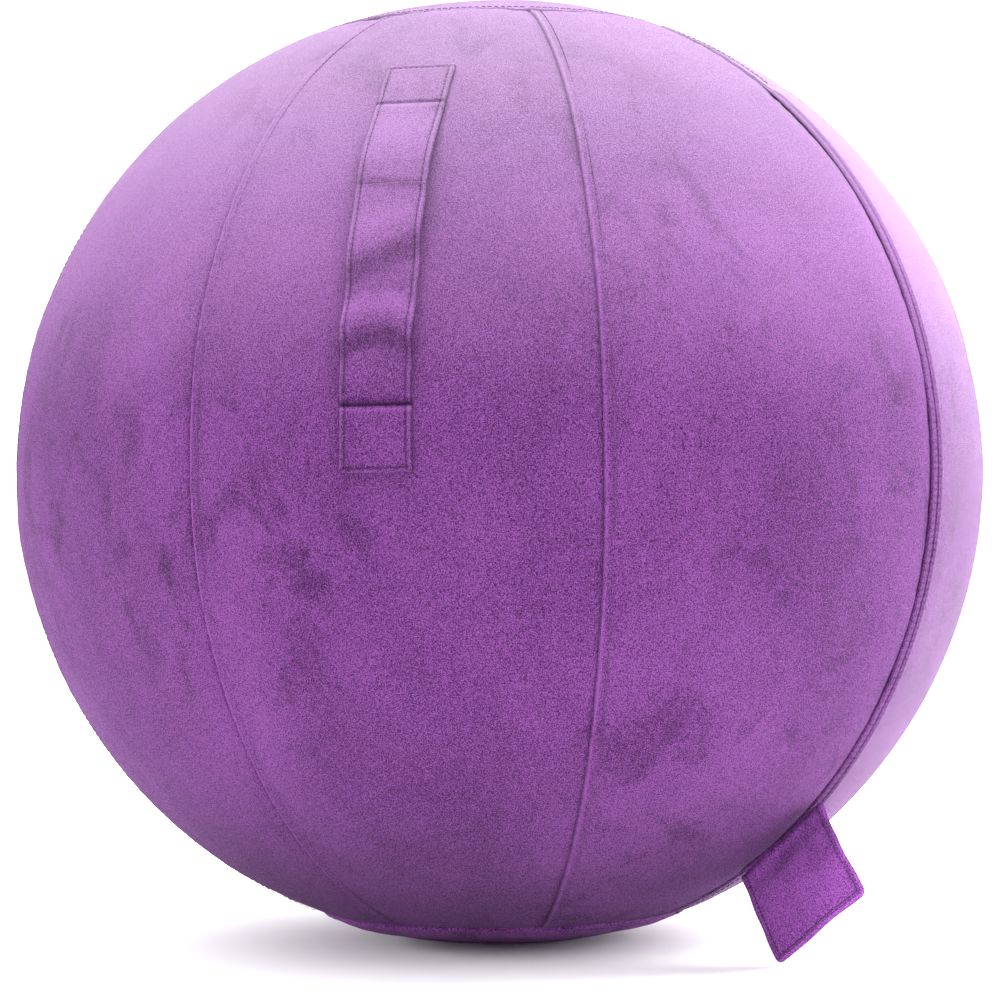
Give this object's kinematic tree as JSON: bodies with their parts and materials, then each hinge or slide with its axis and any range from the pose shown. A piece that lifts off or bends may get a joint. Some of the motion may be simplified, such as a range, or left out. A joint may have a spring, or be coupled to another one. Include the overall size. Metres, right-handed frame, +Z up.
{
  "type": "sitting ball",
  "caption": "Round inflated sitting ball in a padded velvet cover of sewn panels, with a flat-standing weighted base, a carrying strap, a square side tab and a hidden zip.",
  "frame": {"origin": "on the floor under the middle of the ball", "axes": "+Z up; a panel seam faces -Y, the carrying strap is to its left and the zip to its right"},
  "size_m": [0.6524, 0.6524, 0.6335],
  "materials": {
    "velvet": "velvet pile",
    "lining": "plain weave",
    "rubber": "satin",
    "plug": "moulded",
    "tape": "woven",
    "coil": "moulded",
    "slider": "enamel"
  },
  "bodies": {
    "cover": {"gore_1": "velvet", "gore_2": "velvet", "gore_3": "velvet", "gore_4": "velvet", "gore_5": "velvet", "gore_6": "velvet", "gore_7": "velvet", "gore_8": "velvet", "top_cap": "velvet", "base_disc": "velvet", "base_lining": "lining", "base_weight_ring": "lining", "ball_bladder": "rubber", "valve_seat": "rubber", "valve_plug": "plug", "zip_lip_left": "velvet", "zip_lip_right": "velvet", "zip_tape_left": "tape", "zip_tape_right": "tape", "zip_coil_left": "coil", "zip_coil_right": "coil", "zip_lower_stop": "coil", "zip_upper_stop": "coil", "handle_lower_end": "velvet", "handle_lower_slack": "velvet", "handle_upper_slack": "velvet", "handle_upper_end": "velvet"},
    "zip_slider": {"zip_slider": "slider"},
    "zip_puller": {"zip_puller": "slider"},
    "side_tab": {"side_tab_front": "velvet", "side_tab_back": "velvet"},
    "handle_grip": {"handle_grip": "velvet"}
  },
  "joints": [
    {"name": "zip_slide", "type": "hinge", "parent": "cover", "child": "zip_slider", "pos_m": [0.00577, -0.00554, 0.315], "axis": [-0.6921, -0.7218, 0], "range_deg": [0, 97]},
    {"name": "puller_swing", "type": "hinge", "parent": "zip_slider", "child": "zip_puller", "pos_m": [0.15126, -0.14505, 0.06608], "axis": [-0.6921, -0.7218, 0], "range_deg": [-45, 100]},
    {"name": "tab_swing", "type": "hinge", "parent": "cover", "child": "side_tab", "pos_m": [0.15272, -0.15754, 0.07452], "axis": [-0.5422, 0.52, -0.66], "range_deg": [-24, 55]},
    {"name": "strap_lift", "type": "slide", "parent": "cover", "child": "handle_grip", "axis": [-0.36, -0.84, 0.4059], "range_m": [0, 0.025], "deforming": ["handle_lower_slack", "handle_upper_slack"]}
  ]
}
